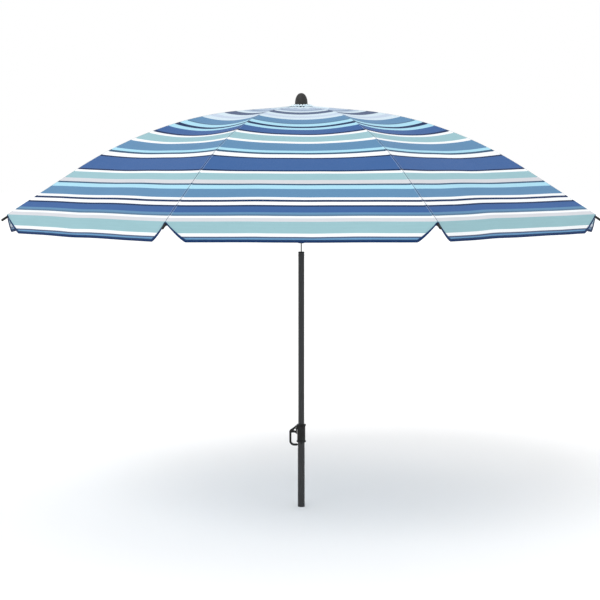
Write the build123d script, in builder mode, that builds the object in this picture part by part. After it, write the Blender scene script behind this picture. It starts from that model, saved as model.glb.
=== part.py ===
"""Beach umbrella: a two-part telescopic pole with a tilt joint, and an eight-rib folding canopy.

The origin is the middle of the pole's lower end, +Z is up along the pole. Rib 1 stands
half a rib step round from +X, so that a panel's middle faces each of +X, -X, +Y and -Y.
"""
import os
from math import cos, radians, sin

from build123d import *

# ---------------------------------------------------------------- driving sizes, in millimetres
RIBS = 8
RIB_STEP = 360 / RIBS
FIRST_RIB = RIB_STEP / 2
CUT_PAST = 1.0            # how far a cut runs past the face it opens
PIN_PLAY = 0.06           # a turning hole's radius over its pin's

# Lower pole and its lock
LOWER_R = 11.0            # outside of the lower tube, the size that goes into a base
LOWER_BORE_R = 10.0
LOWER_NECK_R = 10.7       # the tube is drawn down a little where the lock sleeve sits
LOWER_NECK_Z = 188.0
LOWER_TOP_Z = 262.0
FOOT_PLUG_Z = 16.0
FOOT_PLUG_WALL = 2.5
FOOT_PLUG_FLOOR = 4.0
SLEEVE_Z = (208.0, 265.0)
SLEEVE_R = 12.85
SLEEVE_FLANGE_R = 14.85
SLEEVE_FLANGE = 4.5
SLEEVE_SLOPE = 2.0        # height over which a flange runs down to the sleeve's body
SLEEVE_EDGE = 1.2
SLEEVE_PLAY = 0.3         # between the sleeve's top lip and the main tube
SLEEVE_GROOVES = 14
GROOVE_R = 1.2
GROOVE_OUT = 0.7          # from the sleeve's face out to the groove's middle
GROOVE_END = 2.5          # from a flange to the groove's end
LUG_GAP = 3.4             # from the middle plane to each of the sleeve's two hinge lugs
LUG_THICK = 3.0
LUG_OUTLINE = ((1.0, -5.0), (-4.0, -2.5), (-4.0, 2.5), (0.0, 4.2))      # from the lever's pivot
LUG_ROOT_Z = (-8.0, 6.0)
LEVER_PIVOT = (-17.0, 256.0)      # x, z
LEVER_PIN_R = 1.6
LEVER_THICK = 6.0
LEVER_BAR = 7.0
LEVER_EDGE = 2.0
LEVER_CORNERS = ((-34.5, 244.0), (-34.5, 207.0), (-27.0, 199.6))
LEVER_BENDS = (6, 11, 11)
LEVER_END_X = -13.2
LEVER_WEB = (
    (-34.5, 246.0), (-34.5, 238.0), (-23.0, 238.6), (-16.5, 236.4), (-13.5, 232.0),
    (-13.5, 256.0), (-17.6, 252.0), (-17.8, 243.6), (-27.5, 247.0),
)
PEG_Z = 199.6
PEG_R = 2.4
PEG_HOLE_R = 3.4
RIVET_Z = 204.4
RIVET_R = 1.5
RIVET_HEAD = (2.6, 1.1, 0.9)      # radius, height, rounding

# Main pole
MAIN_R = 9.5
MAIN_BORE_R = 8.6
MAIN_Z = (30.0, 810.0)
GUIDE_SLOT_Z = (45.5, 206.5)
GUIDE_SLOT_WIDTH = 6.6
BUSH_FLANGE_R = 9.9
BUSH_WALL = 2.0
BUSH_FLANGE = 8.0
BUSH_LENGTH = 12.0
PLUG_RIM_R = 9.9
PLUG_RIM = 3.0
PLUG_EDGE = 1.0

# Tilt joint
TILT_Z = 802.0
TILT_PIN_R = 2.5
TILT_PLUG_DEPTH = 25.0     # from the tilt axis down to the plug's end
TILT_MOUTH = 8.0           # from the tilt axis down to the end of the tube's mouth
BLADE_THICK = 4.0
BLADE_WIDTH = 14.0
BLADE_TOP_Z = 905.0
BLADE_RIVET_Z = (868.0, 892.0)
BLADE_PLAY = 0.3
RIVET_HEAD_X = 9.75
RIVET_HEAD_R = 3.0

# Canopy pole and crown
CANOPY_TUBE_Z = (842.5, 1258.0)
HUB_Z = (1246.0, 1262.0)
HUB_R = 22.0
HUB_SLOT = 4.6
HUB_CORE_R = 12.7
HUB_CAP = 2.0
RING_R = 16.0             # wire ring that the rib eyes turn on
RING_Z = 1256.0
WIRE_R = 1.0
STUD_R = 2.5
CAP_EDGE = 1.0
STUD_TOP_Z = 1290.0
WASHER_Z = (1268.8, 1269.8)
FINIAL_FLANGE_R = 23.0
FINIAL_R = 19.8
FINIAL_Z = (1269.8, 1273.6, 1307.5)
FINIAL_FLANGE = 1.6
FINIAL_FLUTES = 14
FLUTE_R = 3.5
FLUTE_OUT = 3.0            # from the finial's face out to the flute's middle

# Ribs and stretchers
ROD_R = 2.0
RIB_POINTS = ((RING_R, RING_Z), (330, 1234), (600, 1141), (940, 928.5))
RIB_BENDS = (1109, 1238)
RIB_EYE_R = 3.2
EYE_HOLE_R = 1.3
TIP_R = 3.5
TIP_LENGTH = 22.0
TIP_EDGE = 2.8
TIP_COVER = 16.0          # how much of the rod the tip covers
BRACKET_FRACTION = 0.43   # place of the bracket along the rib
BRACKET_DROP = 8.0
BRACKET_PIN_R = 1.2
BRACKET_PIN_END = 0.6
BRACKET_LENGTH = 13.0
BRACKET_ROOF = 0.8         # plate over the rod
BRACKET_SKIRT = 3.4        # plate below the pin's middle
BRACKET_EDGE = 2.2
BRACKET_LAP = 0.6          # how far the plate's folded sides start into the rod
BRACKET_GAP = 3.9
BRACKET_WIDTH = 6.8
STRETCHER_THICK = 3.2
STRETCHER_HEIGHT = 5.2
STRETCHER_END_GAP = 0.6   # the lower pivot is left open, clear of the runner's wire

# Runner
RUNNER_PIVOT = (20.0, 1010.0)     # radius, z
RUNNER_BORE_R = 10.3
RUNNER_BARREL_R = 14.0
RUNNER_HEAD_R = 24.0
RUNNER_HEAD_Z = (1003.0, 1017.0)
RUNNER_SLOT = 4.2
RUNNER_SLOT_R = 17.0
RUNNER_FOOT_Z = (950.0, 955.0)
RUNNER_FOOT_R = 18.0
RUNNER_EDGE = 1.5
LATCH_WINDOW = (6.6, 12.0, 9.4)      # x, y, z
LATCH_EAR = (2.4, 8.0, 9.0)
LATCH_EAR_X = 4.6
LATCH_EAR_Y = -16.5
LATCH_PIN_X = 6.2
LATCH_PIVOT = (-17.6, 985.0)      # y, z
LATCH_PIN_R = 1.2
LATCH_WIDTH = 6.0
LATCH_NOSE_Z = 975.0
LATCH_NOSE_Y = -9.8
LATCH_NOSE = 2.5           # half the nose's height
LATCH_BACK = ((1.8, -7.5), (2.0, 3.0), (-2.0, 15.0), (-5.0, 15.0), (-3.0, 0.0), (-2.0, -12.5))
LATCH_EDGE = 1.2

# Canopy cloth
CLOTH = 1.0
CLOTH_POINTS = ((9, 1267.2), (330, 1240), (600, 1147), (928, 942.7))
CLOTH_RINGS = (0, 0.18, 0.27, 0.36, 0.45, 0.54, 0.63, 0.72, 1)
LEAF_GAP = 0.3
VALANCE_DROP = 53.0
VALANCE_LAP = 0.9          # the valance's top runs up into the panel's edge

os.makedirs("parts", exist_ok=True)


# ---------------------------------------------------------------- helpers
def save(part, name):
    """Label a finished piece and write it."""
    part.label = name
    export_step(part, f"parts/{name}.step")


def save_around(part, name):
    """Write a piece once at each rib's place round the pole."""
    for index in range(RIBS):
        save(part.rotate(Axis.Z, FIRST_RIB + index * RIB_STEP), f"{name}_{index + 1}")


def tube(outer_r, inner_r, z_low, z_high):
    """A length of round tube about the pole's axis, in the part being built."""
    with BuildSketch(Plane.XY.offset(z_low)) as wall:
        Circle(outer_r)
        Circle(inner_r, mode=Mode.SUBTRACT)
    extrude(wall.sketch, amount=z_high - z_low)


def pin_along_x(radius, half_length, z, mode=Mode.ADD):
    """A round pin through the pole's axis along X, in the part being built."""
    with BuildSketch(Plane.YZ) as section:
        with Locations((0, z)):
            Circle(radius)
    extrude(section.sketch, amount=half_length, both=True, mode=mode)


def cut_x_slot(width, y_low, y_high, z_low, z_high):
    """Cut a slot that is thin along X out of the part being built."""
    with Locations((0, (y_low + y_high) / 2, (z_low + z_high) / 2)):
        Box(width, y_high - y_low, z_high - z_low, mode=Mode.SUBTRACT)


def flush_rivet(z):
    """A rivet through the tube along X, with low heads that the runner passes over."""
    pin_along_x(TILT_PIN_R, MAIN_R, z)
    for side in (-1, 1):
        with BuildSketch(Plane.YZ.offset(side * (RIVET_HEAD_X + MAIN_R) / 2)) as head:
            with Locations((0, z)):
                Circle(RIVET_HEAD_R)
        extrude(head.sketch, amount=(RIVET_HEAD_X - MAIN_R) / 2, both=True)


# ---------------------------------------------------------------- lower pole
with BuildPart() as lower_tube:
    tube(LOWER_R, LOWER_BORE_R, 0, LOWER_NECK_Z)
    tube(LOWER_NECK_R, LOWER_BORE_R, LOWER_NECK_Z, LOWER_TOP_Z)
    with BuildSketch(Plane.YZ.offset(-LOWER_R - CUT_PAST)):
        with Locations((0, PEG_Z)):
            Circle(PEG_HOLE_R)
    extrude(amount=LOWER_R, mode=Mode.SUBTRACT)
    with BuildSketch(Plane.XZ):
        with Locations((0, RIVET_Z)):
            Circle(RIVET_R)
    extrude(amount=LOWER_R + CUT_PAST, mode=Mode.SUBTRACT)
save(lower_tube.part, "lower_tube")

with BuildPart() as foot_plug:
    with BuildSketch():
        Circle(LOWER_BORE_R)
    extrude(amount=FOOT_PLUG_Z)
    with BuildSketch(Plane.XY.offset(FOOT_PLUG_Z)):
        Circle(LOWER_BORE_R - FOOT_PLUG_WALL)
    extrude(amount=FOOT_PLUG_FLOOR - FOOT_PLUG_Z, mode=Mode.SUBTRACT)
save(foot_plug.part, "foot_plug")

with BuildPart() as lock_sleeve:
    with BuildSketch(Plane.XZ):
        with BuildLine():
            Polyline(
                (LOWER_NECK_R, SLEEVE_Z[0]),
                (SLEEVE_FLANGE_R, SLEEVE_Z[0]),
                (SLEEVE_FLANGE_R, SLEEVE_Z[0] + SLEEVE_FLANGE),
                (SLEEVE_R, SLEEVE_Z[0] + SLEEVE_FLANGE + SLEEVE_SLOPE),
                (SLEEVE_R, SLEEVE_Z[1] - SLEEVE_FLANGE - SLEEVE_SLOPE),
                (SLEEVE_FLANGE_R, SLEEVE_Z[1] - SLEEVE_FLANGE),
                (SLEEVE_FLANGE_R, SLEEVE_Z[1]),
                (MAIN_R + SLEEVE_PLAY, SLEEVE_Z[1]),
                (MAIN_R + SLEEVE_PLAY, LOWER_TOP_Z),
                (LOWER_NECK_R, LOWER_TOP_Z),
                close=True,
            )
        make_face()
    revolve(axis=Axis.Z)
    rims = lock_sleeve.edges().filter_by(GeomType.CIRCLE)
    fillet(rims.filter_by(lambda rim: rim.radius == SLEEVE_FLANGE_R), radius=SLEEVE_EDGE)
    groove_length = SLEEVE_Z[1] - SLEEVE_Z[0] - 2 * (SLEEVE_FLANGE + GROOVE_END)
    with Locations((0, 0, sum(SLEEVE_Z) / 2)):
        with PolarLocations(SLEEVE_R + GROOVE_OUT, SLEEVE_GROOVES, start_angle=90 / SLEEVE_GROOVES):
            Cylinder(GROOVE_R, groove_length, mode=Mode.SUBTRACT)
    for side in (-1, 1):
        with BuildSketch(Plane.XZ.offset(side * (LUG_GAP + LUG_THICK / 2))):
            with BuildLine():
                Polyline(
                    (-SLEEVE_R + 1, LEVER_PIVOT[1] + LUG_ROOT_Z[0]),
                    *((LEVER_PIVOT[0] + x, LEVER_PIVOT[1] + z) for x, z in LUG_OUTLINE),
                    (-SLEEVE_R + 1, LEVER_PIVOT[1] + LUG_ROOT_Z[1]),
                    close=True,
                )
            make_face()
        extrude(amount=LUG_THICK / 2, both=True)
    with BuildSketch(Plane.XZ):
        with Locations(LEVER_PIVOT):
            Circle(LEVER_PIN_R)
    extrude(amount=LUG_GAP + 2 * LUG_THICK, both=True, mode=Mode.SUBTRACT)
save(lock_sleeve.part, "lock_sleeve")

with BuildPart() as sleeve_rivet:
    with BuildSketch(Plane.XZ.offset(LOWER_BORE_R)):
        with Locations((0, RIVET_Z)):
            Circle(RIVET_R)
    extrude(amount=LOWER_NECK_R - LOWER_BORE_R)
    with BuildSketch(Plane.XZ.offset(LOWER_NECK_R)):
        with Locations((0, RIVET_Z)):
            Circle(RIVET_HEAD[0])
    extrude(amount=RIVET_HEAD[1])
    fillet(sleeve_rivet.edges().group_by(Axis.Y)[0], radius=RIVET_HEAD[2])
save(sleeve_rivet.part, "sleeve_rivet")

with BuildPart() as lever_pin:
    with BuildSketch(Plane.XZ):
        with Locations(LEVER_PIVOT):
            Circle(LEVER_PIN_R)
    extrude(amount=LUG_GAP + LUG_THICK, both=True)
    for side in (-1, 1):
        with BuildSketch(Plane.XZ.offset(side * (LUG_GAP + LUG_THICK + 0.5))):
            with Locations(LEVER_PIVOT):
                Circle(LEVER_PIN_R + 1)
        extrude(amount=0.5, both=True)
save(lever_pin.part, "lever_pin")

with BuildPart() as lock_lever:
    with BuildLine(Plane.XZ):
        lever_bow = FilletPolyline(
            LEVER_PIVOT, *LEVER_CORNERS, (LEVER_END_X, LEVER_CORNERS[-1][1]), radius=LEVER_BENDS
        )
    with BuildSketch(Plane(origin=lever_bow @ 0, x_dir=(0, 1, 0), z_dir=lever_bow % 0)):
        RectangleRounded(LEVER_THICK, LEVER_BAR, LEVER_EDGE)
    sweep(path=lever_bow)
    with BuildSketch(Plane.XZ) as web:
        with BuildLine():
            Polyline(*LEVER_WEB, close=True)
        make_face()
    extrude(web.sketch, amount=LEVER_THICK / 2, both=True)
    with BuildSketch(Plane.XZ):
        with Locations(LEVER_PIVOT):
            Circle(LEVER_BAR / 2)
    extrude(amount=LEVER_THICK / 2, both=True)
    with BuildSketch(Plane.YZ.offset(LEVER_END_X - 0.5)):
        with Locations((0, PEG_Z)):
            Circle(PEG_R)
    extrude(amount=6)
    with BuildSketch(Plane.XZ):
        with Locations(LEVER_PIVOT):
            Circle(LEVER_PIN_R + PIN_PLAY)
    extrude(amount=LEVER_THICK, both=True, mode=Mode.SUBTRACT)
save(lock_lever.part, "lock_lever")

# ---------------------------------------------------------------- main pole
with BuildPart() as main_tube:
    tube(MAIN_R, MAIN_BORE_R, *MAIN_Z)
    slot_middle = sum(GUIDE_SLOT_Z) / 2
    with BuildSketch(Plane.YZ.offset(-MAIN_R - CUT_PAST)):
        with Locations((0, slot_middle)):
            SlotOverall(GUIDE_SLOT_Z[1] - GUIDE_SLOT_Z[0], GUIDE_SLOT_WIDTH, rotation=90)
    extrude(amount=MAIN_R, mode=Mode.SUBTRACT)
    cut_x_slot(BLADE_THICK + 2 * BLADE_PLAY, 0, 2 * MAIN_R, TILT_Z - TILT_MOUTH, MAIN_Z[1] + CUT_PAST)
    pin_along_x(TILT_PIN_R, MAIN_R + 2, TILT_Z, mode=Mode.SUBTRACT)
save(main_tube.part, "main_tube")

with BuildPart() as guide_bush:
    tube(BUSH_FLANGE_R, MAIN_BORE_R - BUSH_WALL, MAIN_Z[0] - BUSH_FLANGE, MAIN_Z[0])
    tube(MAIN_BORE_R, MAIN_BORE_R - BUSH_WALL, MAIN_Z[0], MAIN_Z[0] + BUSH_LENGTH)
    chamfer(guide_bush.edges().group_by(Axis.Z)[0], length=0.6)
save(guide_bush.part, "guide_bush")

with BuildPart() as tilt_plug:
    with BuildSketch(Plane.XY.offset(TILT_Z - TILT_PLUG_DEPTH)):
        Circle(MAIN_BORE_R)
    extrude(amount=MAIN_Z[1] - TILT_Z + TILT_PLUG_DEPTH)
    with BuildSketch(Plane.XY.offset(MAIN_Z[1])):
        Circle(PLUG_RIM_R)
    extrude(amount=PLUG_RIM)
    fillet(tilt_plug.edges().group_by(Axis.Z)[-1], radius=PLUG_EDGE)
    blade_reach = BLADE_WIDTH / 2 + BLADE_PLAY
    mouth_top = MAIN_Z[1] + PLUG_RIM + CUT_PAST
    cut_x_slot(BLADE_THICK + 2 * BLADE_PLAY, -blade_reach, 2 * MAIN_R, TILT_Z - blade_reach, mouth_top)
    pin_along_x(TILT_PIN_R, MAIN_R + 2, TILT_Z, mode=Mode.SUBTRACT)
save(tilt_plug.part, "tilt_plug")

with BuildPart() as tilt_pin:
    flush_rivet(TILT_Z)
save(tilt_pin.part, "tilt_pin")

# ---------------------------------------------------------------- canopy pole
with BuildPart() as tilt_blade:
    with BuildSketch(Plane.YZ):
        with BuildLine():
            Polyline(
                (-BLADE_WIDTH / 2, TILT_Z),
                (-BLADE_WIDTH / 2, BLADE_TOP_Z),
                (BLADE_WIDTH / 2, BLADE_TOP_Z),
                (BLADE_WIDTH / 2, TILT_Z),
            )
            ThreePointArc(
                (BLADE_WIDTH / 2, TILT_Z),
                (0, TILT_Z - BLADE_WIDTH / 2),
                (-BLADE_WIDTH / 2, TILT_Z),
            )
        make_face()
    extrude(amount=BLADE_THICK / 2, both=True)
    pin_along_x(TILT_PIN_R + PIN_PLAY, BLADE_THICK, TILT_Z, mode=Mode.SUBTRACT)
    for height in BLADE_RIVET_Z:
        pin_along_x(TILT_PIN_R, BLADE_THICK, height, mode=Mode.SUBTRACT)
save(tilt_blade.part, "tilt_blade")

with BuildPart() as blade_rivets:
    for height in BLADE_RIVET_Z:
        flush_rivet(height)
save(blade_rivets.part, "blade_rivets")

with BuildPart() as canopy_plug:
    with BuildSketch(Plane.XY.offset(CANOPY_TUBE_Z[0])):
        Circle(MAIN_BORE_R)
    extrude(amount=BLADE_TOP_Z - CANOPY_TUBE_Z[0])
    plug_low = CANOPY_TUBE_Z[0] - PLUG_RIM
    with BuildSketch(Plane.XY.offset(plug_low)):
        Circle(PLUG_RIM_R)
    extrude(amount=PLUG_RIM)
    fillet(canopy_plug.edges().group_by(Axis.Z)[0], radius=PLUG_EDGE)
    cut_x_slot(BLADE_THICK, -BLADE_WIDTH / 2, BLADE_WIDTH / 2, plug_low - CUT_PAST, BLADE_TOP_Z + CUT_PAST)
    for height in BLADE_RIVET_Z:
        pin_along_x(TILT_PIN_R, MAIN_R, height, mode=Mode.SUBTRACT)
save(canopy_plug.part, "canopy_plug")

with BuildPart() as canopy_tube:
    tube(MAIN_R, MAIN_BORE_R, *CANOPY_TUBE_Z)
    for height in BLADE_RIVET_Z:
        pin_along_x(TILT_PIN_R, MAIN_R + 2, height, mode=Mode.SUBTRACT)
save(canopy_tube.part, "canopy_tube")

with BuildPart() as crown_hub:
    with BuildSketch(Plane.XY.offset(HUB_Z[0])):
        Circle(HUB_R)
        with PolarLocations(HUB_CORE_R + HUB_R / 2, RIBS, start_angle=FIRST_RIB):
            Rectangle(HUB_R, HUB_SLOT, mode=Mode.SUBTRACT)
    extrude(amount=HUB_Z[1] - HUB_Z[0])
    with BuildSketch(Plane.XY.offset(HUB_Z[1])):
        Circle(RING_R + WIRE_R + 0.1)
        Circle(RING_R - WIRE_R - 0.1, mode=Mode.SUBTRACT)
    extrude(amount=-(HUB_Z[1] - RING_Z + WIRE_R), mode=Mode.SUBTRACT)
    with BuildSketch(Plane.XY.offset(HUB_Z[0])):
        Circle(MAIN_R)
    extrude(amount=CANOPY_TUBE_Z[1] - HUB_Z[0], mode=Mode.SUBTRACT)
    with BuildSketch(Plane.XY.offset(HUB_Z[1])):
        Circle(STUD_R)
    extrude(amount=-(HUB_Z[1] - CANOPY_TUBE_Z[1]), mode=Mode.SUBTRACT)
save(crown_hub.part, "crown_hub")

with BuildPart() as hub_ring:
    with Locations((0, 0, RING_Z)):
        Torus(RING_R, WIRE_R)
save(hub_ring.part, "hub_ring")

with BuildPart() as hub_cap:
    tube(HUB_R - 0.5, STUD_R, HUB_Z[1], HUB_Z[1] + HUB_CAP)
    fillet(hub_cap.faces().sort_by(Axis.Z)[-1].outer_wire().edges(), radius=CAP_EDGE)
save(hub_cap.part, "hub_cap")

with BuildPart() as finial_stud:
    with BuildSketch(Plane.XY.offset(CANOPY_TUBE_Z[1])):
        Circle(STUD_R)
    extrude(amount=STUD_TOP_Z - CANOPY_TUBE_Z[1])
save(finial_stud.part, "finial_stud")

with BuildPart() as crown_washer:
    tube(FINIAL_FLANGE_R - 2, STUD_R, *WASHER_Z)
save(crown_washer.part, "crown_washer")

with BuildPart() as finial:
    with BuildSketch(Plane.XZ):
        with BuildLine():
            Polyline(
                (0, FINIAL_Z[2]),
                (0, FINIAL_Z[0]),
                (FINIAL_FLANGE_R, FINIAL_Z[0]),
                (FINIAL_FLANGE_R, FINIAL_Z[0] + FINIAL_FLANGE),
                (FINIAL_R, FINIAL_Z[1]),
            )
            Bezier(
                (FINIAL_R, FINIAL_Z[1]),
                (FINIAL_R, FINIAL_Z[1] + 0.6 * (FINIAL_Z[2] - FINIAL_Z[1])),
                (0.62 * FINIAL_R, FINIAL_Z[2]),
                (0, FINIAL_Z[2]),
            )
        make_face()
    revolve(axis=Axis.Z)
    with Locations((0, 0, FINIAL_Z[2])):
        with PolarLocations(FINIAL_R + FLUTE_OUT, FINIAL_FLUTES):
            Cylinder(FLUTE_R, 2 * (FINIAL_Z[2] - FINIAL_Z[1]), mode=Mode.SUBTRACT)
    with BuildSketch(Plane.XY.offset(FINIAL_Z[0])):
        Circle(STUD_R)
    extrude(amount=STUD_TOP_Z - FINIAL_Z[0], mode=Mode.SUBTRACT)
save(finial.part, "finial")

# ---------------------------------------------------------------- runner
with BuildPart() as runner:
    tube(RUNNER_FOOT_R, RUNNER_BORE_R, *RUNNER_FOOT_Z)
    fillet(runner.edges().filter_by(GeomType.CIRCLE).sort_by(SortBy.RADIUS)[-2:], radius=RUNNER_EDGE)
    tube(RUNNER_BARREL_R, RUNNER_BORE_R, RUNNER_FOOT_Z[1], RUNNER_HEAD_Z[0])
    with BuildSketch(Plane.XY.offset(RUNNER_HEAD_Z[0])):
        Circle(RUNNER_HEAD_R)
        Circle(RUNNER_BORE_R, mode=Mode.SUBTRACT)
        with PolarLocations(RUNNER_SLOT_R + RUNNER_HEAD_R / 2, RIBS, start_angle=FIRST_RIB):
            Rectangle(RUNNER_HEAD_R, RUNNER_SLOT, mode=Mode.SUBTRACT)
    extrude(amount=RUNNER_HEAD_Z[1] - RUNNER_HEAD_Z[0])
    with BuildSketch(Plane.XY.offset(RUNNER_HEAD_Z[1])):
        Circle(RUNNER_PIVOT[0] + WIRE_R + 0.1)
        Circle(RUNNER_PIVOT[0] - WIRE_R - 0.1, mode=Mode.SUBTRACT)
    extrude(amount=-(RUNNER_HEAD_Z[1] - RUNNER_PIVOT[1] + WIRE_R), mode=Mode.SUBTRACT)
    with Locations((0, -RUNNER_BARREL_R, LATCH_NOSE_Z)):
        Box(*LATCH_WINDOW, mode=Mode.SUBTRACT)
    for side in (-1, 1):
        with Locations((side * LATCH_EAR_X, LATCH_EAR_Y, LATCH_PIVOT[1])):
            Box(*LATCH_EAR)
    with BuildSketch(Plane.YZ):
        with Locations(LATCH_PIVOT):
            Circle(LATCH_PIN_R)
    extrude(amount=RUNNER_BARREL_R, both=True, mode=Mode.SUBTRACT)
save(runner.part, "runner")

with BuildPart() as runner_ring:
    with Locations((0, 0, RUNNER_PIVOT[1])):
        Torus(RUNNER_PIVOT[0], WIRE_R)
save(runner_ring.part, "runner_ring")

with BuildPart() as latch_pin:
    with BuildSketch(Plane.YZ):
        with Locations(LATCH_PIVOT):
            Circle(LATCH_PIN_R)
    extrude(amount=LATCH_PIN_X, both=True)
save(latch_pin.part, "latch_pin")

with BuildPart() as runner_latch:
    with BuildSketch(Plane.YZ):
        with BuildLine():
            Polyline(
                (LATCH_NOSE_Y, LATCH_NOSE_Z + LATCH_NOSE),
                *((LATCH_PIVOT[0] + y, LATCH_PIVOT[1] + z) for y, z in LATCH_BACK),
                (LATCH_NOSE_Y, LATCH_NOSE_Z - LATCH_NOSE),
                close=True,
            )
        make_face()
    extrude(amount=LATCH_WIDTH / 2, both=True)
    fillet(runner_latch.edges().filter_by(Axis.X).group_by(Axis.Z)[-1], radius=LATCH_EDGE)
    with BuildSketch(Plane.YZ):
        with Locations(LATCH_PIVOT):
            Circle(LATCH_PIN_R + PIN_PLAY)
    extrude(amount=LATCH_WIDTH, both=True, mode=Mode.SUBTRACT)
save(runner_latch.part, "runner_latch")

# ---------------------------------------------------------------- ribs, tips and stretchers
with BuildPart() as rib:
    with BuildLine(Plane.XZ):
        rib_line = FilletPolyline(*RIB_POINTS, radius=RIB_BENDS)
    with BuildSketch(Plane(origin=rib_line @ 0, z_dir=rib_line % 0)):
        Circle(ROD_R)
    sweep(path=rib_line)
    with BuildSketch(Plane.XZ):
        with Locations(RIB_POINTS[0]):
            Circle(RIB_EYE_R)
    extrude(amount=ROD_R, both=True)
    with BuildSketch(Plane.XZ):
        with Locations(RIB_POINTS[0]):
            Circle(EYE_HOLE_R)
    extrude(amount=2 * ROD_R, both=True, mode=Mode.SUBTRACT)

    # Bracket: a folded plate over the rod, with two ears below it and a pin through them
    bracket_plane = Plane(
        origin=rib_line @ BRACKET_FRACTION,
        x_dir=rib_line % BRACKET_FRACTION,
        z_dir=(0, -1, 0),
    )
    with BuildSketch(bracket_plane):
        bracket_low, bracket_high = -BRACKET_DROP - BRACKET_SKIRT, ROD_R + BRACKET_ROOF
        with Locations((0, (bracket_low + bracket_high) / 2)):
            RectangleRounded(BRACKET_LENGTH, bracket_high - bracket_low, BRACKET_EDGE)
    extrude(amount=BRACKET_WIDTH / 2, both=True)
    with BuildSketch(bracket_plane):
        with Locations((0, -BRACKET_DROP - ROD_R)):
            Rectangle(BRACKET_LENGTH + CUT_PAST, 2 * BRACKET_DROP - BRACKET_LAP)
    extrude(amount=BRACKET_GAP / 2, both=True, mode=Mode.SUBTRACT)
    with BuildSketch(bracket_plane):
        with Locations((0, -BRACKET_DROP)):
            Circle(BRACKET_PIN_R)
    extrude(amount=BRACKET_WIDTH / 2 + BRACKET_PIN_END, both=True)
save_around(rib.part, "rib")

with BuildPart() as rib_tip:
    tip_start = rib_line @ 1 - (rib_line % 1) * TIP_COVER
    tip_plane = Plane(origin=tip_start, z_dir=rib_line % 1)
    with BuildSketch(tip_plane):
        Circle(TIP_R)
    extrude(amount=TIP_LENGTH)
    fillet(rib_tip.edges().filter_by(GeomType.CIRCLE).sort_by(Axis.X)[-1], radius=TIP_EDGE)
    with BuildSketch(tip_plane):
        Circle(ROD_R)
    extrude(amount=TIP_COVER, mode=Mode.SUBTRACT)
save_around(rib_tip.part, "rib_tip")

with BuildPart() as stretcher:
    upper_pivot = bracket_plane.from_local_coords(Vector(0, -BRACKET_DROP, 0))
    lower_pivot = Vector(RUNNER_PIVOT[0], 0, RUNNER_PIVOT[1])
    stretcher_length = (upper_pivot - lower_pivot).length
    stretcher_plane = Plane(
        origin=lower_pivot, x_dir=upper_pivot - lower_pivot, z_dir=(0, -1, 0)
    )
    bar_start = WIRE_R + STRETCHER_END_GAP
    with BuildSketch(stretcher_plane):
        with Locations(((bar_start + stretcher_length) / 2, 0)):
            Rectangle(stretcher_length - bar_start, STRETCHER_HEIGHT)
        with Locations((stretcher_length, 0)):
            Circle(STRETCHER_HEIGHT / 2)
    extrude(amount=STRETCHER_THICK / 2, both=True)
    with BuildSketch(stretcher_plane):
        with Locations((stretcher_length, 0)):
            Circle(BRACKET_PIN_R + PIN_PLAY)
    extrude(amount=STRETCHER_THICK, both=True, mode=Mode.SUBTRACT)
save_around(stretcher.part, "stretcher")

# ---------------------------------------------------------------- canopy cloth
with BuildPart() as canopy_panel:
    with BuildLine(Plane.XZ):
        cloth_line = FilletPolyline(*CLOTH_POINTS, radius=RIB_BENDS)
    for lift, mode in ((CLOTH / 2, Mode.ADD), (-CLOTH / 2, Mode.SUBTRACT)):
        for fraction in CLOTH_RINGS:
            ring = cloth_line @ fraction
            with BuildSketch(Plane.XY.offset(ring.Z + lift)):
                RegularPolygon(ring.X, RIBS)
        loft(ruled=True, mode=mode)
    half_step = radians(RIB_STEP / 2)
    hem_r, hem_z = CLOTH_POINTS[-1]
    apex = LEAF_GAP / 2 / sin(half_step)
    reach = 1.2 * hem_r
    cut_height = CLOTH_POINTS[0][1]
    with BuildSketch(Plane.XY.offset(hem_z - VALANCE_DROP)):
        with BuildLine():
            Polyline(
                (apex, 0),
                (apex + reach * cos(half_step), reach * sin(half_step)),
                (apex + reach * cos(half_step), -reach * sin(half_step)),
                close=True,
            )
        make_face()
    extrude(amount=cut_height, mode=Mode.INTERSECT)
    with BuildSketch(Plane.XY.offset(hem_z)):
        Circle(CLOTH_POINTS[0][0] - CLOTH / 2)
    extrude(amount=cut_height, mode=Mode.SUBTRACT)

    # Valance: half of each neighbouring panel's hanging strip, its corner cut back at 45 degrees
    hem_half = hem_r * sin(half_step)
    for side in (-1, 1):
        out = Vector(cos(half_step), side * sin(half_step), 0)
        along = Vector(-side * sin(half_step), cos(half_step), 0)
        middle = out * (hem_r * cos(half_step) - CLOTH / 2) + Vector(0, 0, hem_z)
        with BuildSketch(Plane(origin=middle, x_dir=along, z_dir=out)):
            with BuildLine():
                Polyline(
                    (-side * LEAF_GAP / 2, VALANCE_LAP),
                    (-side * (hem_half - CLOTH), VALANCE_LAP),
                    (-side * (hem_half - VALANCE_DROP), -VALANCE_DROP),
                    (-side * LEAF_GAP / 2, -VALANCE_DROP),
                    close=True,
                )
            make_face()
        extrude(amount=CLOTH / 2, both=True)
save_around(canopy_panel.part, "canopy_panel")
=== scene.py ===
"""Beach umbrella: the looks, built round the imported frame. Metres, +Z up, camera on -Y."""
from math import atan2, cos, pi, radians, sin, sqrt

import bpy
from mathutils import Euler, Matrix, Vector, noise


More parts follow.
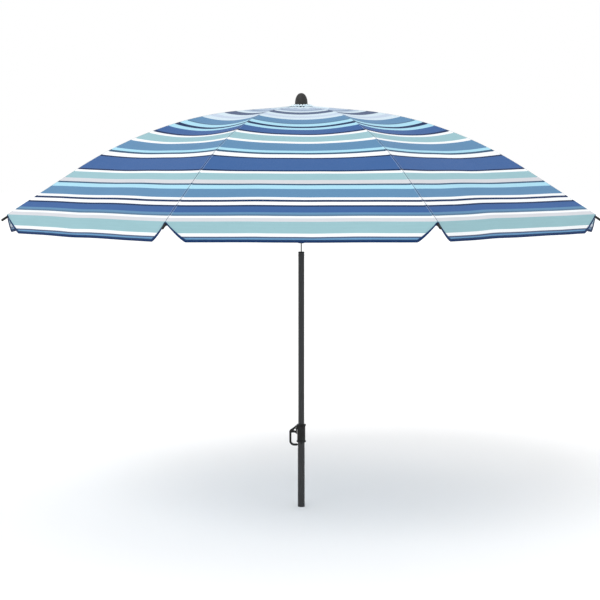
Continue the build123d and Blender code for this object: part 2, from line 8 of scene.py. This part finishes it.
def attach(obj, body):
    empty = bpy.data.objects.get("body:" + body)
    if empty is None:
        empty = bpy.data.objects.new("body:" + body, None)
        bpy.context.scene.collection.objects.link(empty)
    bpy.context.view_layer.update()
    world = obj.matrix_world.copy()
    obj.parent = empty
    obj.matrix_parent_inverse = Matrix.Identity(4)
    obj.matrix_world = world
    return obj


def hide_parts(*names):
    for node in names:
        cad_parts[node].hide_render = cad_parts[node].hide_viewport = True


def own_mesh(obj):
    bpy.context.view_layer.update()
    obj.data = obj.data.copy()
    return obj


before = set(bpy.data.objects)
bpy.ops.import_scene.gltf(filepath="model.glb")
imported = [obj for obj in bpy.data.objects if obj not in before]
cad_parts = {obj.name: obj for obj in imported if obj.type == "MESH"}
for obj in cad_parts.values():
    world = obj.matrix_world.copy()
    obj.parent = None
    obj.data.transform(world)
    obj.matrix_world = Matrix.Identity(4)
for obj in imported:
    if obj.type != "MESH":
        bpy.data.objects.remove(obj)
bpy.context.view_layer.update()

MM = 0.001

# ---------------------------------------------------------------- sizes, in metres
RIBS = 8
RIB_STEP = radians(45)
HALF_STEP = RIB_STEP / 2
FIRST_RIB = HALF_STEP

# The cloth's run from the crown to the hem, as in the CAD panels: straight lines joined by arcs
CLOTH_POINTS = ((0.009, 1.2672), (0.330, 1.2400), (0.600, 1.1470), (0.928, 0.9427))
CLOTH_BENDS = (1.109, 1.238)
CROWN_R = 0.0095
HEM_R = CLOTH_POINTS[-1][0]
VALANCE_DROP = 0.053
NOTCH_WIDTH = 0.053
NOTCH_POWER = 1.25
APEX_DROP = 0.0030        # the valance's depth at the rib itself
CLOTH_THICK = 0.0006
CRISP_EDGE = radians(50)

# How far a panel's middle hangs below the straight line between its ribs: share of the radius, sag
SAGS = (
    (0.0, 0.0), (0.15, 0.003), (0.27, 0.009), (0.43, 0.017), (0.53, 0.015),
    (0.69, 0.010), (0.79, 0.003), (0.88, 0.0), (1.0, 0.0),
)

# The seam over each rib: a low ridge in the cloth
RIDGE_HEIGHT = 0.0008
RIDGE_HALF_WIDTH = 0.0038
RIDGE_EDGE = 0.0016
RIDGE_FADE = 0.05         # radius at which the ridge reaches its full height

# Gathers that run out from the crown
PLEATS = 24
PLEAT_HEIGHT = 0.0020
PLEAT_START = 0.012
PLEAT_RISE = 0.02
PLEAT_FULL = 0.04
PLEAT_REACH = 0.175
PLEAT_SHIFT = 4.0         # how far the pleats push the printed stripes about, over their height

# Unevenness of the stretched cloth: waves to a metre and height, broad and fine
BROAD_WAVE = (4.0, 0.0022)
FINE_WAVE = (9.0, 0.0009)
# The valance's free edge: waves to a metre and height, broad and fine, and how far it leans in
EDGE_BROAD_WAVE = (5.0, 0.006)
EDGE_FINE_WAVE = (17.0, 0.0016)
EDGE_LEAN = 0.0012

# The hem tape, folded over the valance's edge
BINDING_WIDTH = 0.0068
NOTCH_NARROWING = 0.0036  # how much narrower the tape is at the notch's top
BINDING_HALF_THICK = 0.0011
# The tape's section: share of its width in from the edge, share of its half thickness
BINDING_SECTION = (
    (-0.10, 0.0), (-0.06, 0.7), (0.03, 1.0), (0.95, 0.95), (1.0, 0.6),
    (1.0, -0.6), (0.95, -0.95), (0.03, -1.0), (-0.06, -0.7),
)

# The pocket for a rib's tip
POCKET_LENGTH = 0.046
POCKET_HALF_WIDTH = 0.0085
POCKET_DEPTH = 0.012
POCKET_SET_BACK = 0.001   # from the hem
POCKET_GAP = 0.0006       # to the cloth's lower face
POCKET_END_SHARE = 0.86   # width of its inner end
POCKET_FULLNESS = 1.2
POCKET_THICK = 0.0008

# The gathered collar round the finial's base
COLLAR_INNER = 0.0185
COLLAR_OUTER = 0.0375
COLLAR_FRILLS = 19
COLLAR_WOBBLE_REACH = 0.0018
COLLAR_FRILL_REACH = 0.0016
COLLAR_PUFF = 0.0042
COLLAR_LIFT = 0.0010
COLLAR_EDGE_LIFT = 0.0008
COLLAR_THICK = 0.0007

# Mesh density
CANOPY_ROWS = 84
VALANCE_ROWS = 9
NOTCH_STEPS = 22
HEM_STEPS = 26
NOTCH_CROWDING = 1.3      # above 1, the tape's steps crowd towards the notch's top
POCKET_GRID = (14, 13)
COLLAR_GRID = (14, 304)
SEAM_COLUMNS = (0.0, 0.0009, 0.0022, 0.0042, 0.0056, 0.0075, 0.012, 0.020)
PANEL_COLUMNS = 17

# Printed stripes, from the crown out: colour, and the radius at which it ends, in millimetres
STRIPES = (
    ("ice", 100), ("haze", 156), ("mist", 172), ("haze", 192), ("ice", 216), ("slate", 254), ("ice", 282),
    ("lilac", 304), ("ice", 327), ("mid_blue", 369), ("grey_blue", 375), ("bright_aqua", 397),
    ("navy", 412), ("bright_aqua", 433), ("deep_blue", 471), ("navy", 480), ("white", 496),
    ("aqua", 535), ("white", 549), ("mid_blue", 597), ("bright_aqua", 611), ("ink", 622),
    ("white", 640), ("navy", 647), ("deep_blue", 707), ("navy", 714), ("white", 724),
    ("aqua", 754), ("pale_grey", 769), ("ink", 778), ("bright_aqua", 793), ("mid_blue", 830),
)
# The lower part of the panel has its own ramp, as one ramp holds 32 stripes
HEM_STRIPES_FROM = 830
HEM_STRIPES = (
    ("white", 840), ("navy", 848), ("white", 861), ("navy", 867), ("deep_blue", 890),
    ("mid_blue", 898), ("grey_blue", 904), ("white", 912), ("pale_grey", 926),
    ("aqua", 957), ("white", 966), ("slate", 970), ("sky", 990),
)

INKS = {
    "white": (0.97, 0.985, 0.995),
    "ice": (0.83, 0.90, 0.94),
    "haze": (0.69, 0.76, 0.84),
    "lilac": (0.77, 0.83, 0.90),
    "mist": (0.52, 0.60, 0.69),
    "pale_grey": (0.83, 0.84, 0.86),
    "aqua": (0.605, 0.76, 0.79),
    "bright_aqua": (0.67, 0.865, 0.94),
    "sky": (0.42, 0.61, 0.77),
    "mid_blue": (0.375, 0.55, 0.695),
    "grey_blue": (0.33, 0.47, 0.58),
    "deep_blue": (0.235, 0.39, 0.61),
    "slate": (0.32, 0.385, 0.50),
    "ink": (0.21, 0.35, 0.46),
    "navy": (0.06, 0.18, 0.34),
}
BINDING_NAVY = (0.015, 0.19, 0.39)
PRINT_LIGHT = 0.88       # lightness of the print under this studio's light


# ---------------------------------------------------------------- helpers
def linear(colour):
    """Display colour to scene-linear RGBA."""
    return tuple(c / 12.92 if c <= 0.04045 else ((c + 0.055) / 1.055) ** 2.4 for c in colour) + (1.0,)


def polar(r, angle, z):
    return Vector((r * cos(angle), r * sin(angle), z))


def rib_angle(index):
    """Direction of rib number index, counted from 1."""
    return FIRST_RIB + (index - 1) * RIB_STEP


def between(value, table):
    """Linear interpolation in a table of (position, value) pairs."""
    for (x0, y0), (x1, y1) in zip(table, table[1:]):
        if value <= x1:
            return y0 + (y1 - y0) * (value - x0) / (x1 - x0)
    return table[-1][1]


def smooth_step(x):
    x = min(max(x, 0.0), 1.0)
    return x * x * (3 - 2 * x)


def bend_arcs(points, radii):
    """(start r, end r, centre r, centre z, radius) of the arc at each inner point of a falling line."""
    arcs = []
    for (x0, z0), (x1, z1), (x2, z2), radius in zip(points, points[1:], points[2:], radii):
        before = Vector((x1 - x0, z1 - z0)).normalized()
        after = Vector((x2 - x1, z2 - z1)).normalized()
        half_turn = before.angle(after) / 2
        reach = radius * sin(half_turn) / cos(half_turn)
        start = Vector((x1, z1)) - before * reach
        end = Vector((x1, z1)) + after * reach
        centre = start + Vector((before.y, -before.x)) * radius
        arcs.append((start.x, end.x, centre.x, centre.y, radius))
    return arcs


ARCS = bend_arcs(CLOTH_POINTS, CLOTH_BENDS)


def cloth_height(r):
    """Height of the cloth over a rib, at radius r."""
    for start, end, centre_r, centre_z, radius in ARCS:
        if start <= r <= end:
            return centre_z + sqrt(radius**2 - (r - centre_r) ** 2)
    return between(r, CLOTH_POINTS)


def mesh_object(name, points, faces):
    """A new smooth-shaded mesh piece in the scene."""
    mesh = bpy.data.meshes.new(name)
    mesh.from_pydata([tuple(p) for p in points], [], faces)
    mesh.validate()
    mesh.shade_smooth()
    piece = bpy.data.objects.new(name, mesh)
    bpy.context.scene.collection.objects.link(piece)
    return piece


def grid_faces(rows, columns, closed=False, first=0):
    """Quads of a grid of points that are numbered along each row."""
    faces = []
    for row in range(rows - 1):
        for column in range(columns if closed else columns - 1):
            step = (column + 1) % columns
            a, b = first + row * columns, first + (row + 1) * columns
            faces.append((a + column, b + column, b + step, a + step))
    return faces


def add_values(piece, **values):
    """Store one float on each point for each name."""
    for name, numbers in values.items():
        layer = piece.data.attributes.new(name, "FLOAT", "POINT")
        layer.data.foreach_set("value", numbers)


# ---------------------------------------------------------------- materials
class Shader:
    """A small helper round one material's node tree."""

    def __init__(self, name, roughness=0.5, **sockets):
        self.material = bpy.data.materials.new(name)
        self.material.use_nodes = True
        self.tree = self.material.node_tree
        self.surface = self.tree.nodes["Principled BSDF"]
        self.surface.inputs["Roughness"].default_value = roughness
        for key, value in sockets.items():
            self.surface.inputs[key.replace("_", " ")].default_value = value

    def node(self, kind, inputs=(), **settings):
        made = self.tree.nodes.new("ShaderNode" + kind)
        for key, value in settings.items():
            setattr(made, key, value)
        for key, value in dict(inputs).items():
            if isinstance(value, bpy.types.NodeSocket):
                self.tree.links.new(value, made.inputs[key])
            else:
                made.inputs[key].default_value = value
        return made

    def math(self, operation, *values, clamp=False):
        made = self.node("Math", enumerate(values), operation=operation, use_clamp=clamp)
        return made.outputs[0]

    def mix(self, factor, a, b, blend="MIX"):
        made = self.node("Mix", {0: factor, 6: a, 7: b}, data_type="RGBA", blend_type=blend)
        return made.outputs[2]

    def value(self, name):
        return self.node("Attribute", attribute_name=name).outputs["Fac"]

    def position(self):
        return self.node("TexCoord").outputs["Object"]

    def noise(self, scale, detail=3.0, roughness=0.5, where=None):
        inputs = {
            "Vector": where or self.position(), "Scale": scale,
            "Detail": detail, "Roughness": roughness,
        }
        return self.node("TexNoise", inputs).outputs["Fac"]

    def ramp(self, factor, stops, constant=False):
        made = self.node("ValToRGB", {"Fac": factor})
        elements = made.color_ramp.elements
        made.color_ramp.interpolation = "CONSTANT" if constant else "LINEAR"
        for place, colour in stops[2:]:
            elements.new(place)
        for element, (place, colour) in zip(elements, stops):
            element.position = place
        for element, (place, colour) in zip(elements, stops):
            element.color = colour
        return made.outputs["Color"]

    def bump(self, height, strength, distance, under=None):
        inputs = {"Height": height, "Strength": strength, "Distance": distance}
        if under:
            inputs["Normal"] = under
        return self.node("Bump", inputs).outputs["Normal"]

    def finish(self, colour=None, roughness=None, normal=None):
        for key, socket in (("Base Color", colour), ("Roughness", roughness), ("Normal", normal)):
            if socket is not None:
                self.tree.links.new(socket, self.surface.inputs[key])
        return self.material


def stripe_ramp(shader, place, stripes, low):
    """Constant colours along place (millimetres), from low to the last stripe's end."""
    high = stripes[-1][1]
    starts = [0.0] + [(end - low) / (high - low) for colour, end in stripes[:-1]]
    stops = [(start, linear(INKS[colour])) for start, (colour, end) in zip(starts, stripes)]
    share = shader.math("DIVIDE", shader.math("SUBTRACT", place, low), high - low, clamp=True)
    return shader.ramp(share, stops, constant=True)


def stripe_colour(shader):
    """The print: its stripes have slightly wandering edges and uneven ink."""
    place = shader.value("stripe")
    wander = shader.math("MULTIPLY", shader.math("SUBTRACT", shader.noise(5.0, 2.0), 0.5), 3.0)
    place = shader.math("ADD", place, wander)
    above = stripe_ramp(shader, place, STRIPES, 0.0)
    below = stripe_ramp(shader, place, HEM_STRIPES, HEM_STRIPES_FROM)
    print_colour = shader.mix(shader.math("GREATER_THAN", place, HEM_STRIPES_FROM), above, below)
    clouds = shader.noise(7.0, 4.0, 0.6)
    drawn_out = shader.math("MULTIPLY", shader.value("across"), 0.012)
    along_stripe = shader.node("CombineXYZ", {0: drawn_out, 1: place})
    streaks = shader.noise(0.55, 3.0, 0.6, where=along_stripe.outputs[0])
    light = shader.math("MULTIPLY_ADD", clouds, 0.10, PRINT_LIGHT)
    light = shader.math("MULTIPLY_ADD", streaks, 0.16, shader.math("SUBTRACT", light, 0.13))
    grey = shader.node("CombineColor", {0: light, 1: light, 2: light}).outputs[0]
    return shader.mix(1.0, print_colour, grey, blend="MULTIPLY")


def weave_height(shader, pitch):
    """A plain weave of the given pitch, in the cloth's own directions, in millimetres."""
    turns = 2 * pi / pitch
    warp = shader.math("SINE", shader.math("MULTIPLY", shader.value("across"), turns))
    weft = shader.math("SINE", shader.math("MULTIPLY", shader.value("along"), turns))
    return shader.math("MULTIPLY", warp, weft)


def stitch_mask(shader, distance, half_width, pitch):
    """1 on the stitches of a row that runs beside the seam, and 0 elsewhere."""
    from_row = shader.math("ABSOLUTE", shader.math("SUBTRACT", shader.value("across"), distance))
    on_row = shader.math("LESS_THAN", from_row, half_width)
    phase = shader.math("FRACT", shader.math("DIVIDE", shader.value("along"), pitch))
    on_stitch = shader.math("LESS_THAN", phase, 0.66)
    return shader.math("MULTIPLY", on_row, on_stitch)


def printed_cloth(name, underside=False):
    shader = Shader(name, roughness=0.78, Specular_IOR_Level=0.15, Sheen_Weight=0.06, Sheen_Roughness=0.5)
    shader.surface.inputs["Sheen Tint"].default_value = (0.62, 0.55, 0.95, 1)
    colour = stripe_colour(shader)
    if underside:
        colour = shader.mix(0.28, colour, linear((0.80, 0.84, 0.87)))
    # Painted shadow: a dark line down the seam over the rib, standing in for the shade in the seam's fold
    seam = shader.math("LESS_THAN", shader.value("across"), 1.0)
    colour = shader.mix(shader.math("MULTIPLY", seam, 0.75), colour, linear((0.12, 0.20, 0.31)))
    stitches = stitch_mask(shader, 3.2, 0.32, 3.4)
    colour = shader.mix(shader.math("MULTIPLY", stitches, 0.7), colour, linear((0.88, 0.91, 0.94)))
    normal = shader.bump(weave_height(shader, 0.9), 0.25, 0.00015)
    normal = shader.bump(shader.noise(38.0, 4.0, 0.6), 0.25, 0.0012, normal)
    normal = shader.bump(stitches, 0.5, 0.0004, normal)
    rough = shader.math("MULTIPLY_ADD", shader.noise(60.0), 0.15, 0.70)
    return shader.finish(colour, rough, normal)


def binding_cloth():
    shader = Shader("navy_binding", roughness=0.7, Specular_IOR_Level=0.15, Sheen_Weight=0.05)
    colour = shader.mix(shader.noise(120.0, 4.0), linear(BINDING_NAVY), linear((0.02, 0.14, 0.29)))
    stitches = stitch_mask(shader, 5.2, 0.35, 3.0)
    colour = shader.mix(shader.math("MULTIPLY", stitches, 0.8), colour, linear((0.30, 0.42, 0.56)))
    normal = shader.bump(weave_height(shader, 0.8), 0.3, 0.00015)
    normal = shader.bump(stitches, 0.6, 0.0004, normal)
    return shader.finish(colour, None, normal)


def pocket_cloth():
    shader = Shader("pocket_webbing", roughness=0.75, Specular_IOR_Level=0.2, Sheen_Weight=0.1)
    colour = shader.mix(shader.noise(160.0, 3.0), linear((0.86, 0.88, 0.90)), linear((0.74, 0.79, 0.83)))
    return shader.finish(colour, None, shader.bump(shader.noise(900.0, 2.0), 0.3, 0.0002))


def collar_cloth():
    shader = Shader("crown_collar", roughness=0.8, Specular_IOR_Level=0.2, Sheen_Weight=0.1)
    colour = shader.ramp(
        shader.noise(55.0, 3.0, 0.6),
        [
            (0.3, linear((0.66, 0.78, 0.85))),
            (0.5, linear((0.84, 0.91, 0.94))),
            (0.7, linear((0.95, 0.97, 0.98))),
        ],
    )
    return shader.finish(colour, None, shader.bump(shader.noise(420.0, 3.0), 0.3, 0.0003))


def powder_coat(name, base, worn):
    """Satin powder coat: fine orange peel, with the coat rubbed a little lighter in places."""
    shader = Shader(name, roughness=0.42, Specular_IOR_Level=0.3)
    colour = shader.mix(shader.noise(9.0, 5.0, 0.65), linear(base), linear(worn))
    rough = shader.math("MULTIPLY_ADD", shader.noise(30.0, 4.0), 0.22, 0.32)
    normal = shader.bump(shader.noise(900.0, 2.0), 0.12, 0.0003)
    return shader.finish(colour, rough, normal)


def moulded_plastic(name, base, worn):
    """Textured black plastic: a fine spark-eroded grain, paler where hands rub it."""
    shader = Shader(name, roughness=0.5, Specular_IOR_Level=0.3)
    colour = shader.mix(shader.noise(14.0, 5.0, 0.7), linear(base), linear(worn))
    rough = shader.math("MULTIPLY_ADD", shader.noise(45.0, 4.0), 0.25, 0.38)
    normal = shader.bump(shader.noise(1600.0, 3.0, 0.7), 0.25, 0.0003)
    return shader.finish(colour, rough, normal)


def plated_steel(name, dark, light):
    """Plated steel with faint drawing marks and cloudy patches."""
    shader = Shader(name, roughness=0.32, Metallic=1.0)
    colour = shader.ramp(
        shader.noise(60.0, 5.0, 0.7),
        [(0.35, linear(dark)), (0.65, linear(light))],
    )
    stretched = shader.node("Mapping", {"Vector": shader.position(), "Scale": (400.0, 400.0, 12.0)})
    marks = shader.noise(1.0, 4.0, 0.6, where=stretched.outputs[0])
    rough = shader.math("MULTIPLY_ADD", marks, 0.22, 0.22)
    return shader.finish(colour, rough, shader.bump(marks, 0.1, 0.0002))


CLOTH = printed_cloth("printed_canopy")
CLOTH_UNDER = printed_cloth("printed_canopy_underside", underside=True)
BINDING = binding_cloth()
POCKET = pocket_cloth()
COLLAR = collar_cloth()
POLE_COAT = powder_coat("charcoal_powder_coat", (0.165, 0.165, 0.17), (0.21, 0.21, 0.215))
RIB_COAT = powder_coat("rib_powder_coat", (0.10, 0.10, 0.11), (0.15, 0.15, 0.16))
PLASTIC = moulded_plastic("black_plastic", (0.045, 0.045, 0.047), (0.09, 0.09, 0.09))
FINIAL_PLASTIC = moulded_plastic("finial_plastic", (0.13, 0.127, 0.12), (0.20, 0.195, 0.19))
ZINC = plated_steel("zinc_plate", (0.66, 0.67, 0.68), (0.84, 0.85, 0.85))
DARK_STEEL = plated_steel("blackened_steel", (0.30, 0.31, 0.30), (0.42, 0.43, 0.42))

NODE_MATERIALS = {
    POLE_COAT: ("lower_tube", "main_tube", "canopy_tube"),
    RIB_COAT: ("rib_", "stretcher_"),
    FINIAL_PLASTIC: ("finial",),
    PLASTIC: (
        "lock_sleeve", "lock_lever", "foot_plug", "guide_bush", "tilt_plug", "canopy_plug",
        "crown_hub", "hub_cap", "runner", "runner_latch", "rib_tip_", "sleeve_rivet",
    ),
    ZINC: ("hub_ring", "finial_stud", "runner_ring", "latch_pin"),
    DARK_STEEL: ("lever_pin", "tilt_pin", "tilt_blade", "blade_rivets"),
    COLLAR: ("crown_washer",),
}


def dress_cad_nodes():
    """Give each CAD node the material of its name, or of its family for the numbered ones."""
    finish_of = {name: material for material, names in NODE_MATERIALS.items() for name in names}
    for name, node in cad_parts.items():
        family = name.rstrip("0123456789")
        material = finish_of.get(name) or finish_of.get(family)
        if material:
            for material_slot in node.material_slots:
                material_slot.material = material


# ---------------------------------------------------------------- cloth shapes
def sag(r):
    return between(r / HEM_R, SAGS)


def crown_pleats(point):
    """Small gathers that run out from the crown and die away."""
    r = point.xy.length
    if r > PLEAT_REACH:
        return 0.0
    angle = atan2(point.y, point.x)
    rise = smooth_step((r - PLEAT_START) / PLEAT_RISE)
    strength = rise * (1 - smooth_step((r - PLEAT_FULL) / (PLEAT_REACH - PLEAT_FULL)))
    uneven = 0.6 + 0.8 * noise.noise(polar(3.0, angle, 0.0))
    drift = 2 * noise.noise(polar(1.5, angle, 1.0))
    return PLEAT_HEIGHT * strength * uneven * sin(PLEATS * angle + drift)


def tension_waves(point):
    """Slight unevenness of stretched cloth: broad waves and soft creases towards the hem."""
    r = point.xy.length / HEM_R
    broad_pitch, broad_height = BROAD_WAVE
    fine_pitch, fine_height = FINE_WAVE
    broad = noise.noise(point * broad_pitch) * broad_height
    fine = noise.noise(Vector((point.x * fine_pitch, point.y * fine_pitch, 3.0))) * fine_height
    return (broad + fine) * smooth_step((r - 0.1) / 0.3)


def panel_point(angle, side, r, u):
    """A point of the canopy beside the rib at angle: u is the distance from the rib along the stripe."""
    half = r * sin(HALF_STEP)
    t = u / half
    flat = Vector((r - u * sin(HALF_STEP), side * u * cos(HALF_STEP), 0))
    x = flat.x * cos(angle) - flat.y * sin(angle)
    y = flat.x * sin(angle) + flat.y * cos(angle)
    place = Vector((x, y, 0))
    spread = 2 * t - t * t
    place.z = cloth_height(r) - sag(r) * spread
    lift = crown_pleats(place) + tension_waves(place) * spread
    ridge = RIDGE_HEIGHT * (1 - smooth_step((u - RIDGE_HALF_WIDTH) / RIDGE_EDGE))
    ridge *= smooth_step(r / RIDGE_FADE)
    place.z += lift + ridge
    return place


def valance_depth(u):
    """Depth of the valance at distance u from the rib, cut back beside the rib."""
    rise = max(0.0, 1 - u / NOTCH_WIDTH) ** NOTCH_POWER
    return APEX_DROP + (VALANCE_DROP - APEX_DROP) * (1 - rise)


def valance_point(angle, side, u, depth):
    """A point of the valance: it hangs from the hem with a slight wave at its free edge."""
    top = panel_point(angle, side, HEM_R, u)
    outward = Vector((cos(angle + side * HALF_STEP), sin(angle + side * HALF_STEP), 0))
    share = depth / VALANCE_DROP
    broad_pitch, broad_height = EDGE_BROAD_WAVE
    fine_pitch, fine_height = EDGE_FINE_WAVE
    wave = noise.noise(Vector((top.x * broad_pitch, top.y * broad_pitch, 0.3))) * broad_height
    wave += noise.noise(Vector((top.x * fine_pitch, top.y * fine_pitch, 2.0))) * fine_height
    top.z -= depth
    return top + outward * (wave * share * share - EDGE_LEAN * share)


def column_places(half):
    """Distances from the rib of the mesh's columns: close together at the seam, then even."""
    columns = len(SEAM_COLUMNS) + PANEL_COLUMNS
    near = [min(place, half * k / columns) for k, place in enumerate(SEAM_COLUMNS)]
    start = near[-1]
    return near + [start + (half - start) * (k + 1) / PANEL_COLUMNS for k in range(PANEL_COLUMNS)]


def canopy_leaf(index):
    """The cloth round one rib: half of the panel on each side, with its half valances."""
    angle = rib_angle(index)
    points, stripe, across, along = [], [], [], []
    rows, columns = CANOPY_ROWS + VALANCE_ROWS, len(SEAM_COLUMNS) + PANEL_COLUMNS
    left = [(-1, number) for number in range(columns - 1, 0, -1)]
    right = [(1, number) for number in range(columns)]
    for row in range(rows):
        on_canopy = row < CANOPY_ROWS
        r = CROWN_R + (HEM_R - CROWN_R) * row / (CANOPY_ROWS - 1) if on_canopy else HEM_R
        places = column_places(r * sin(HALF_STEP))
        for side, number in left + right:
            u = places[number]
            if on_canopy:
                depth = 0.0
                points.append(panel_point(angle, side, r, u))
                shift = PLEAT_SHIFT * crown_pleats(points[-1])
            else:
                depth = valance_depth(u) * (row - CANOPY_ROWS + 1) / VALANCE_ROWS
                points.append(valance_point(angle, side, u, depth))
                shift = 0.0
            stripe.append((r + depth + shift) / MM)
            across.append(u / MM)
            along.append((r + depth) / MM)
    piece = mesh_object(f"canopy_cloth_{index}", points, grid_faces(rows, 2 * columns - 1))
    add_values(piece, stripe=stripe, across=across, along=along)
    piece.data.materials.append(CLOTH)
    piece.data.materials.append(CLOTH_UNDER)
    return piece


def thicken(piece, thickness, offset=0, under_slot=0):
    """Give a sheet its thickness, another material inside if asked, and crisp edges."""
    shell = piece.modifiers.new("thickness", "SOLIDIFY")
    shell.thickness = thickness
    shell.offset = offset
    shell.material_offset = under_slot
    shell.material_offset_rim = under_slot
    finished = piece.evaluated_get(bpy.context.evaluated_depsgraph_get())
    piece.data = bpy.data.meshes.new_from_object(finished)
    piece.modifiers.clear()
    piece.data.set_sharp_from_angle(angle=CRISP_EDGE)


def valance_binding(index):
    """Navy tape folded over the valance's lower edge and notch, in one strip on each side of the rib."""
    angle = rib_angle(index)
    half = HEM_R * sin(HALF_STEP)
    points, faces, across, along = [], [], [], []
    steps = [NOTCH_WIDTH * (k / NOTCH_STEPS) ** NOTCH_CROWDING for k in range(NOTCH_STEPS)]
    steps += [NOTCH_WIDTH + (half - NOTCH_WIDTH) * k / HEM_STEPS for k in range(HEM_STEPS + 1)]
    ring = len(BINDING_SECTION)
    for side in (-1, 1):
        outward = Vector((cos(angle + side * HALF_STEP), sin(angle + side * HALF_STEP), 0))
        edge = [valance_point(angle, side, u, valance_depth(u)) for u in steps]
        first, length = len(points), 0.0
        for k, place in enumerate(edge):
            before, after = edge[max(k - 1, 0)], edge[min(k + 1, len(edge) - 1)]
            if k:
                length += (place - edge[k - 1]).length
            inward = (after - before).normalized().cross(outward).normalized()
            if inward.z < 0:
                inward = -inward
            width = BINDING_WIDTH - NOTCH_NARROWING * (1 - smooth_step(steps[k] / NOTCH_WIDTH))
            for a, b in BINDING_SECTION:
                points.append(place + inward * (a * width) + outward * (b * BINDING_HALF_THICK))
                across.append(a * width / MM)
                along.append(length / MM)
        strip = grid_faces(len(edge), ring, closed=True, first=first)
        strip.append(tuple(range(first, first + ring)))
        strip.append(tuple(range(len(points) - 1, len(points) - ring - 1, -1)))
        faces += strip if side > 0 else [tuple(reversed(face)) for face in strip]
    piece = mesh_object(f"valance_binding_{index}", points, faces)
    add_values(piece, across=across, along=along)
    piece.data.set_sharp_from_angle(angle=CRISP_EDGE)
    piece.data.materials.append(BINDING)
    return piece


def rib_pocket(index):
    """Webbing pocket under the corner, which holds the rib's tip."""
    angle = rib_angle(index)
    points = []
    rows, columns = POCKET_GRID
    for row in range(rows):
        r = HEM_R - POCKET_LENGTH * (1 - row / (rows - 1)) - POCKET_SET_BACK
        for column in range(columns):
            t = 2 * column / (columns - 1) - 1
            side = 1 if t >= 0 else -1
            width = POCKET_HALF_WIDTH * (1.0 if row else POCKET_END_SHARE)
            place = panel_point(angle, side, r, abs(t) * width)
            bag = sqrt(max(0.0, 1 - t * t))
            place.z -= CLOTH_THICK + POCKET_GAP + POCKET_DEPTH * bag**POCKET_FULLNESS
            points.append(place)
    piece = mesh_object(f"rib_pocket_{index}", points, grid_faces(rows, columns))
    piece.data.materials.append(POCKET)
    thicken(piece, POCKET_THICK)
    return piece


def crown_collar():
    """Gathered ring of cloth round the finial's base, lying on the canopy in soft frills."""
    rows, columns = COLLAR_GRID
    ring_width = COLLAR_OUTER - COLLAR_INNER
    points = []
    for row in range(rows):
        share = row / (rows - 1)
        for column in range(columns):
            angle = 2 * pi * column / columns
            wobble = noise.noise(polar(2.5, angle, 0.5))
            frill = 0.5 + 0.5 * sin(COLLAR_FRILLS * angle + 3.0 * wobble)
            reach = ring_width + COLLAR_WOBBLE_REACH * wobble + COLLAR_FRILL_REACH * frill
            r = COLLAR_INNER + reach * share
            puff = COLLAR_PUFF * sin(pi * share**0.8) * (0.35 + 0.65 * frill)
            lift = COLLAR_LIFT + puff * (1 + 0.4 * wobble) + COLLAR_EDGE_LIFT * share * frill
            lift *= smooth_step(0.3 + share * 3.0)
            points.append(polar(r, angle, cloth_height(max(r, CROWN_R)) + lift))
    piece = mesh_object("crown_collar", points, grid_faces(rows, columns, closed=True))
    piece.data.materials.append(COLLAR)
    thicken(piece, COLLAR_THICK, offset=1)
    return piece


def gathered_collar():
    collar = crown_collar()
    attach(collar, "canopy_pole")


def hang_canopy():
    """Build the cloth, binding and pocket of each rib, and let them ride and fold with it."""
    for index in range(1, RIBS + 1):
        body, joint = f"rib_{index}", f"rib_{index}_fold"
        cloth, binding, pocket = canopy_leaf(index), valance_binding(index), rib_pocket(index)
        thicken(cloth, CLOTH_THICK, offset=-1, under_slot=1)
        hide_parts(f"canopy_panel_{index}")
        for piece in (cloth, binding, pocket):
            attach(piece, body)
        for piece in (cloth, binding):
            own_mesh(piece)


# ---------------------------------------------------------------- floor, light and camera
def stage_floor():
    floor = mesh_object("floor", [(-40, -40, 0), (40, -40, 0), (40, 40, 0), (-40, 40, 0)], [(0, 1, 2, 3)])
    shader = Shader("pale_floor", roughness=0.9)
    shader.surface.inputs["Base Color"].default_value = (0.97, 0.97, 0.97, 1)
    floor.data.materials.append(shader.material)


def soft_sun(name, strength, spread, tilt, turn):
    """A wide, even light; tilt is its angle from straight down, turn its side."""
    lamp = bpy.data.lights.new(name, "SUN")
    lamp.energy = strength
    lamp.angle = radians(spread)
    lamp_object = bpy.data.objects.new(name, lamp)
    lamp_object.rotation_euler = Euler((radians(tilt), 0, radians(turn)))
    bpy.context.scene.collection.objects.link(lamp_object)


CAMERA_DISTANCE = 5.05
CAMERA_HEIGHT = 1.12
CAMERA_ASIDE = -0.004
CAMERA_PITCH = radians(5.2)
LENS_MM = 96.6


def studio():
    scene = bpy.context.scene
    world = bpy.data.worlds.new("soft_white")
    world.use_nodes = True
    world.node_tree.nodes["Background"].inputs["Color"].default_value = (1, 1, 1, 1)
    world.node_tree.nodes["Background"].inputs["Strength"].default_value = 1.0
    scene.world = world
    scene.view_settings.view_transform = "Standard"
    soft_sun("key", 0.9, 35, 42, -28)
    camera = bpy.data.cameras.new("camera")
    camera.lens = LENS_MM
    camera.sensor_width = 36
    camera.clip_end = 200
    camera_object = bpy.data.objects.new("camera", camera)
    camera_object.location = (CAMERA_ASIDE, -CAMERA_DISTANCE, CAMERA_HEIGHT)
    camera_object.rotation_euler = Euler((pi / 2 - CAMERA_PITCH, 0, 0))
    scene.collection.objects.link(camera_object)
    scene.camera = camera_object


dress_cad_nodes()
hang_canopy()
gathered_collar()
stage_floor()
studio()
